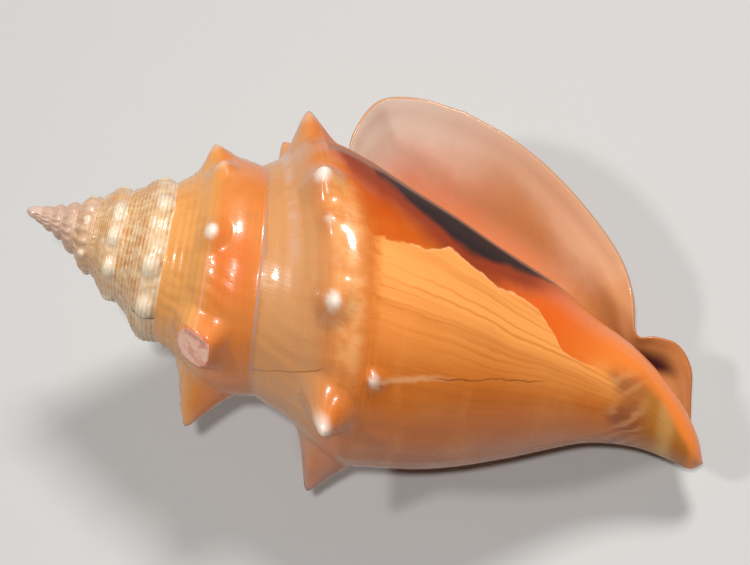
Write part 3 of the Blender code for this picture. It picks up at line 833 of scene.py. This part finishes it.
def shell_fields(p):
    """What the paint depends on, as sockets: place on the shell, marks and noises."""
    f = SimpleNamespace()
    f.turn, f.row, f.inner = p.parts("place")
    f.tip, f.broken, f.knob = p.parts("marks")
    f.callus_in, f.dark_in, f.fold = p.parts("paint")
    space = p.node("ShaderNodeTexCoord", out=3)
    f.patchy = p.grain(space, 70.0, 4.0)
    f.blotch = p.grain(space, 220.0, 4.0)
    f.flecks = p.grain(space, 650.0, 3.0)
    f.fine = p.grain(space, 1500.0, 3.0)
    bent = p.math("ADD", f.turn, p.math("MULTIPLY", f.patchy, 0.03))
    f.growth = p.stretched(bent, 55.0, f.row, 0.8, 5.0, 0.6)
    f.growth_lines = p.stretched(bent, 170.0, f.row, 1.2, 2.0, 0.5)
    f.growth_fine = p.stretched(bent, 420.0, f.row, 2.5, 3.0, 0.6)
    f.spiral = p.stretched(f.turn, 6.0, f.row, 11.0, 4.0, 0.6)
    f.threads = p.stretched(f.turn, 9.0, f.row, 60.0, 2.0, 0.5)
    return f


# In the paint functions the limits of rise, fall and spot are turns, rows, depths inside the
# lip (1 at its rim to 2 at the hollow's end), marks or noise values, and f holds the sockets.

def last_whorl(p, f):
    """Tan ramp, orange flank, bright peach beside the callus, growth lines, and brown on the
    underside that is partly painted shade.
    """
    turn, row = f.turn, f.row
    body = p.over(p.rise(row, 1.3, 2.5), RAMP_TAN, FLANK_ORANGE)
    bright = p.both(p.rise(row, 3.4, 4.15), p.fall(turn, 9.19, 9.33), p.rise(turn, 9.1, 9.14))
    body = p.over(bright, body, BRIGHT_PEACH)
    lower = p.both(p.rise(row, 3.2, 4.1), p.rise(turn, 9.2, 9.32))
    body = p.over(lower, body, LOWER_ORANGE)
    # brown towards the underside, partly the shell's own colour and partly painted shade
    under = p.both(p.rise(turn, 9.32, 9.46, 0.75), p.rise(row, 2.4, 3.4))
    body = p.over(under, body, UNDER_BROWN_AND_SHADE)
    flank = p.math("ADD", 0.15, p.rise(row, 1.5, 3.2, 0.85))
    body = p.over(p.both(p.rise(f.growth, 0.45, 0.70, 0.45), flank), body, GROWTH_BROWN)
    body = p.over(p.rise(f.spiral, 0.5, 0.72, 0.25), body, SPIRAL_PEACH)
    body = p.over(p.both(p.rise(f.growth_lines, 0.54, 0.66, 0.5), flank), body, LINE_ORANGE)
    body = p.over(p.both(p.rise(f.growth_fine, 0.52, 0.75, 0.3), flank), body, LINE_BROWN)
    body = p.over(p.rise(f.patchy, 0.45, 0.7, 0.25), body, PATCH_ORANGE)
    between = p.both(p.rise(row, 1.7, 2.4), p.fall(row, 3.0, 3.7), p.rise(turn, 9.08, 9.14),
                     p.fall(turn, 9.25, 9.36))
    body = p.over(p.both(between, 0.45), body, SHOULDER_TAN)
    body = p.over(p.both(p.fall(f.growth, 0.30, 0.62, 0.6), between), body, SHOULDER_PALE)
    lilac = p.both(p.spot(row, 0.9, 0.3), p.rise(f.growth, 0.35, 0.6, 0.5),
                   p.rise(turn, 8.9, 9.0), p.fall(turn, 9.16, 9.26))
    return p.over(lilac, body, RAMP_LILAC)


def whorl_before(p, f):
    """Tan ramp, deeper orange flank, red orange beyond its white knob, a pinkish keel line."""
    turn, row = f.turn, f.row
    before = p.over(p.rise(row, 1.6, 2.5), BEFORE_RAMP, BEFORE_FLANK)
    red = p.both(p.spot(turn, 8.235, 0.075), p.rise(row, 2.1, 2.6, 0.85),
                 p.fall(row, 3.3, 4.0, 0.8))
    before = p.over(red, before, BEFORE_RED)
    pale = p.both(p.spot(turn, 8.12, 0.06), p.spot(row, 2.9, 0.8), p.rise(f.patchy, 0.3, 0.6, 0.8))
    before = p.over(pale, before, BEFORE_PALE)
    before = p.over(p.rise(f.growth, 0.45, 0.7, 0.35), before, BEFORE_BROWN)
    before = p.over(p.rise(f.threads, 0.48, 0.7, 0.25), before, BEFORE_THREAD)
    keel = p.both(p.spot(row, 2.02, 0.09), p.rise(turn, 8.19, 8.24), p.fall(turn, 8.32, 8.36, 0.6))
    return p.over(keel, before, KEEL_PINK)


def spire_whorls(p, f, groove):
    """Cream with orange brown between the cords, pinkish at the tip."""
    turn, growth, blotch = f.turn, f.growth, f.blotch
    spire = p.over(p.rise(growth, 0.42, 0.62, 0.6), SPIRE_CREAM, SPIRE_ORANGE)
    rusty = p.rise(p.math("ADD", growth, p.math("MULTIPLY", blotch, 0.4)), 0.55, 0.78, 0.75)
    spire = p.over(p.both(groove, rusty), spire, GROOVE_BROWN)
    spire = p.over(p.rise(f.threads, 0.45, 0.62, 0.4), spire, THREAD_CREAM)
    spire = p.over(p.rise(f.flecks, 0.52, 0.64, 0.45), spire, FLECK_CREAM)
    spire = p.over(p.rise(blotch, 0.54, 0.66, 0.55), spire, BLOTCH_ORANGE)
    near_knobs = p.math("ADD", growth, p.math("MULTIPLY", f.knob, 0.3))
    cream = p.both(p.rise(f.row, 2.2, 2.9), p.rise(turn, 5.9, 6.4),
                   p.rise(blotch, 0.38, 0.58, 0.75), p.rise(near_knobs, 0.3, 0.6))
    spire = p.over(cream, spire, BAND_CREAM)
    near_tip = p.over(p.rise(f.threads, 0.42, 0.6, 0.6), APEX_BROWN, APEX_PINK)
    return p.over(p.fall(turn, 3.4, 6.9, 0.95), spire, near_tip)


def knobs_over(p, f, colour, groove):
    """White knobs, pale spine tips, the last spine mauve grey."""
    uneven = p.math("ADD", p.scatter(f.blotch, 1.0), p.scatter(f.flecks, 1.0))
    white = p.rise(p.math("MULTIPLY_ADD", uneven, 2.0, f.knob), 0.1, 0.8, 0.85)
    white = p.both(white, p.rise(f.knob, 0.02, 0.3), p.math("SUBTRACT", 1.0, p.both(groove, 0.45)))
    colour = p.over(white, colour, KNOB_WHITE)
    colour = p.over(f.tip, colour, THORN_WHITE)
    mauve = p.both(p.spot(f.turn, 9.5, 0.07), p.rise(f.row, 1.0, 1.8), p.fall(f.row, 2.6, 3.4),
                   p.rise(f.blotch, 0.3, 0.55, 0.8))
    return p.over(mauve, colour, SPINE_MAUVE)


def suture_over(p, f, colour):
    """A fine wavy lilac line with a darker edge."""
    near_suture = p.math("ADD", f.row, p.scatter(f.blotch, 0.36))
    late = p.rise(f.turn, 8.95, 9.0)
    colour = p.over(p.both(p.fall(near_suture, 0.07, 0.18, 0.5), late), colour, SUTURE_BROWN)
    line = p.both(p.fall(near_suture, 0.03, 0.08, 0.75), late, p.rise(f.growth, 0.3, 0.5))
    return p.over(line, colour, SUTURE_LILAC)


def fasciole_over(p, f, colour):
    """Wavy mauve, cream and olive folds by the siphonal end, with a painted highlight on the olive
    lobe.
    """
    slanted = p.math("MULTIPLY_ADD", f.turn, 0.7, f.row)
    swirl = p.stretched(f.turn, 9.0, slanted, 6.0, 3.0, 0.5)
    waves = p.math("MULTIPLY_ADD", swirl, 16.0, p.math("MULTIPLY", slanted, 130.0))
    folds = p.over(p.rise(p.math("SINE", waves), -0.6, 1.3), FOLD_MAUVE, FOLD_CREAM)
    folds = p.over(p.rise(swirl, 0.44, 0.62, 0.55), folds, FOLD_ORANGE)
    # pale spot on the olive lobe: painted highlight
    pale = p.both(p.spot(f.row, 4.74, 0.05), p.rise(f.patchy, 0.3, 0.5))
    folds = p.over(p.rise(f.row, 4.63, 4.69), folds, p.over(pale, OLIVE_DARK, OLIVE_HIGHLIGHT))
    folds = p.over(p.rise(f.row, 4.83, 4.88), folds, END_ORANGE)
    return p.over(p.both(f.fold, 0.85), colour, folds)


def callus_over(p, f, colour):
    """Glaze beside the aperture, with a painted highlight along its jagged edge and maroon and
    black painted shade by the silhouette; also gives the share of the maroon painted shade.
    """
    turn, row = f.turn, f.row
    jag = p.math("ADD", p.scatter(f.blotch, 0.02), p.scatter(f.flecks, 0.008))
    glaze = p.math("ADD", f.callus_in, jag)
    soft = p.math("MAXIMUM", p.fall(row, 3.2, 4.0), p.rise(row, 4.46, 4.56, 0.9))
    crisp = p.both(p.rise(glaze, -0.001, 0.003), p.math("SUBTRACT", 1.0, soft))
    share = p.math("ADD", crisp, p.both(p.rise(glaze, -0.03, 0.05), soft))
    paint = p.over(p.rise(row, 4.18, 4.40), GLAZE_BURNT, GLAZE_RED)
    paint = p.over(p.rise(f.patchy, 0.4, 0.65, 0.5), paint, GLAZE_PATCH)
    paint = p.over(p.rise(row, 4.40, 4.62), paint, GLAZE_ORANGE)
    # maroon, then black: painted shade on the glaze as it turns away by the silhouette
    shadow = p.math("ADD", f.dark_in, jag)
    red = p.both(p.rise(shadow, -0.055, -0.01), p.fall(row, 4.36, 4.50))
    paint = p.over(red, paint, GLAZE_MAROON_SHADE)
    dark = p.both(p.rise(shadow, -0.006, 0.016), p.rise(row, 3.85, 4.08), p.fall(row, 4.5, 4.6))
    paint = p.over(p.both(dark, share), paint, GLAZE_BLACK_SHADE)
    wall = p.both(p.fall(turn, 9.03, 9.07), p.fall(row, 4.5, 4.7))
    paint = p.over(wall, paint, WALL_PINK)
    # grey mauve strip by the silhouette: painted reflection of the lip
    reflection_strip = p.both(p.spot(turn, 9.054, 0.014), p.fall(row, 4.4, 4.5), 0.85)
    paint = p.over(reflection_strip, paint, WALL_MAUVE_REFLECTION)
    colour = p.over(share, colour, paint)
    # pale line along the jagged edge of the glaze: painted highlight
    edge = p.both(p.spot(glaze, 0.0, 0.003), p.rise(row, 4.02, 4.1), p.fall(row, 4.46, 4.52), 0.35)
    return p.over(edge, colour, GLAZE_EDGE_HIGHLIGHT), red


def cracks_over(p, f, colour):
    """Long crack from the side knob, short crack over the ramp, crack through a spire knob."""
    turn, row = f.turn, f.row
    knob_turn = SIDE_KNOB[0] + SIDE_KNOB[1] / SPINE_COLUMNS
    jitter = p.scatter(f.blotch, 0.02)
    wavy = p.math("ADD", turn, jitter)
    path = p.math("MULTIPLY_ADD", row, -LONG_CRACK_SLOPE, knob_turn + 4.0 * LONG_CRACK_SLOPE)
    aside = p.math("SUBTRACT", wavy, path)
    pale = p.both(p.spot(aside, 0.0, 0.005), p.rise(row, 3.98, 4.03), p.fall(row, 4.12, 4.22, 0.4))
    colour = p.over(pale, colour, CRACK_PALE)
    crack = p.both(p.spot(aside, 0.0, 0.0015), p.rise(row, 4.12, 4.18),
                   p.fall(row, 4.38, 4.42, 0.8))
    colour = p.over(crack, colour, CRACK_BROWN)
    path = p.math("MULTIPLY_ADD", row, -RAMP_CRACK_SLOPE, RAMP_CRACK_TURN)
    aside = p.math("SUBTRACT", p.math("MULTIPLY_ADD", jitter, 0.4, turn), path)
    crack = p.both(p.spot(aside, 0.0, 0.0016), p.fall(row, 1.7, 1.9, 0.7), p.rise(row, 0.05, 0.1))
    colour = p.over(crack, colour, CRACK_TAN)
    crack = p.both(p.spot(wavy, SPIRE_CRACK_TURN, 0.004), p.rise(row, 2.0, 2.2, 0.9),
                   p.fall(turn, 7.9, 8.0))
    return p.over(crack, colour, CRACK_BLACK)


def lip_over(p, f, colour):
    """Inside of the lip: cream outward, salmon and tan inward, brown round notch and lobe, and
    painted shade deep in the canal by the lobe.
    """
    row, inner = f.row, f.inner
    flare = p.both(p.rise(f.turn, 9.90, 9.955), p.fall(row, 4.4, 4.5))
    colour = p.over(flare, colour, RIM_TAN)
    # rows lie closer together below the band: way runs evenly along the lip
    beyond = p.math("MAXIMUM", p.math("SUBTRACT", row, 4.0), 0.0)
    way = p.math("MULTIPLY_ADD", beyond, 11.0, row)
    lip = p.over(p.rise(way, 2.4, 6.6), LIP_CREAM, LIP_PEACH)
    salmon = p.math("ADD", inner, p.scatter(f.patchy, 0.16))
    lip = p.over(p.rise(salmon, 1.06, 1.22), lip, LIP_SALMON)
    tan = p.both(p.spot(salmon, 1.13, 0.09), p.rise(way, 3.2, 5.8),
                 p.rise(f.patchy, 0.3, 0.6, 0.6))
    lip = p.over(tan, lip, LIP_TAN)
    lip = p.over(p.both(p.rise(row, 4.26, 4.40), p.rise(f.patchy, 0.35, 0.6, 0.6)), lip, LIP_BROWN)
    lip = p.over(p.rise(inner, 1.4, 1.8), lip, DEEP_PINK)
    notch = p.both(p.rise(row, 4.40, 4.52), p.fall(inner, 1.0, 1.3), 0.85)
    lip = p.over(notch, lip, NOTCH_BROWN)
    # painted shade deep in the hollow of the canal by the lobe
    canal_shade = p.both(p.rise(row, 4.53, 4.61), p.fall(row, 4.72, 4.80), p.rise(inner, 1.04, 1.13))
    lip = p.over(canal_shade, lip, CANAL_SHADE_BLACK)
    return p.over(p.rise(inner, 0.7, 1.0), colour, lip)


def break_over(p, f, colour):
    """Face of the broken spine: pinkish white with an orange red edge."""
    scar = p.over(p.rise(f.flecks, 0.45, 0.6, 0.75), SCAR_PINK, SCAR_RED)
    colour = p.over(p.both(p.spot(f.broken, 0.3, 0.3), 0.9), colour, SCAR_EDGE)
    return p.over(p.rise(f.broken, 0.35, 0.7), colour, scar)


def shell_material():
    p = Paint("shell_surface")
    f = shell_fields(p)
    cord_wave = p.math("COSINE", p.math("MULTIPLY", f.row, 2.0 * math.pi * CORDS_PER_ROW))
    groove = p.fall(cord_wave, -0.9, 0.3)
    whorls = p.over(p.rise(f.turn, 8.93, 8.97), whorl_before(p, f), last_whorl(p, f))
    colour = p.over(p.rise(f.turn, 7.96, 8.04), spire_whorls(p, f, groove), whorls)
    colour = knobs_over(p, f, colour, groove)
    colour = suture_over(p, f, colour)
    colour = fasciole_over(p, f, colour)
    colour, red = callus_over(p, f, colour)
    colour = cracks_over(p, f, colour)
    colour = lip_over(p, f, colour)
    colour = break_over(p, f, colour)

    shine = p.math("MULTIPLY_ADD", f.blotch, 0.16, 0.18)
    shine = p.math("MULTIPLY_ADD", f.broken, 0.4, shine)
    # rougher, and below without coat, where the maroon painted shade lies
    shine = p.math("MULTIPLY_ADD", red, 0.3, shine)
    height = p.math("MULTIPLY_ADD", f.growth, 0.8, p.math("MULTIPLY", f.growth_fine, 0.5))
    height = p.math("MULTIPLY_ADD", f.fine, 0.15, height)
    outside_only = p.fall(f.inner, 0.2, 0.8)
    bump = p.node("ShaderNodeBump", {"Strength": 0.35, "Distance": 0.00012,
                                     "Height": p.both(height, outside_only)})
    p.feed(p.shader.inputs["Base Color"], colour)
    p.feed(p.shader.inputs["Roughness"], shine)
    p.feed(p.shader.inputs["Normal"], bump)
    p.feed(p.shader.inputs["Coat Weight"], p.both(p.math("SUBTRACT", 1.0, red), 0.3))
    p.feed(p.shader.inputs["Coat Roughness"], 0.06)
    p.feed(p.shader.inputs["IOR"], 1.36)
    return p.material


def plain_material(name, colour, roughness):
    made = bpy.data.materials.new(name)
    made.use_nodes = True
    shader = made.node_tree.nodes["Principled BSDF"]
    shader.inputs["Base Color"].default_value = (*colour, 1.0)
    shader.inputs["Roughness"].default_value = roughness
    return made


def make_stage():
    mesh = bpy.data.meshes.new("floor")
    corners = [(-1.0, -1.0), (1.0, -1.0), (1.0, 1.0), (-1.0, 1.0)]
    mesh.from_pydata([(FLOOR_HALF * x, FLOOR_HALF * y, 0.0) for x, y in corners], [],
                     [(0, 1, 2, 3)])
    mesh.materials.append(plain_material("floor_pale", FLOOR_PALE, FLOOR_ROUGHNESS))
    floor = bpy.data.objects.new("floor", mesh)
    bpy.context.scene.collection.objects.link(floor)
    world = bpy.data.worlds.new("studio")
    world.use_nodes = True
    background = world.node_tree.nodes["Background"]
    background.inputs["Color"].default_value = (*WORLD_COLOUR, 1.0)
    background.inputs["Strength"].default_value = WORLD_STRENGTH
    bpy.context.scene.world = world
    bpy.context.scene.view_settings.view_transform = "Standard"


def add_light(name, offset, size, power):
    """Soft round white light that faces the shell."""
    data = bpy.data.lights.new(name, "AREA")
    data.shape = "DISK"
    data.size = size
    data.energy = power
    light = bpy.data.objects.new(name, data)
    right, upward, back = view_axes()
    middle = Vector(LIT_POINT)
    light.location = middle + right * offset[0] + upward * offset[1] + back * offset[2]
    light.rotation_euler = (middle - light.location).to_track_quat("-Z", "Y").to_euler()
    bpy.context.scene.collection.objects.link(light)


def view_axes():
    right = (TO_REST @ Vector(CAMERA_RIGHT)).normalized()
    upward = (TO_REST @ Vector(CAMERA_UP)).normalized()
    return right, upward, right.cross(upward)


def make_camera():
    data = bpy.data.cameras.new("camera")
    data.lens = CAMERA_LENS
    data.sensor_width = 36.0
    data.clip_start = 0.01
    camera = bpy.data.objects.new("camera", data)
    right, upward, back = view_axes()
    turned = Matrix((right, upward, back)).transposed().to_4x4()
    turned.translation = rest_point(CAMERA_AT)
    camera.matrix_world = turned
    bpy.context.scene.collection.objects.link(camera)
    bpy.context.scene.camera = camera


shell = make_shell()
shell.data.materials.append(shell_material())
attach(shell, "root")
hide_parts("shell")
make_stage()
for light in LIGHTS:
    add_light(*light)
make_camera()
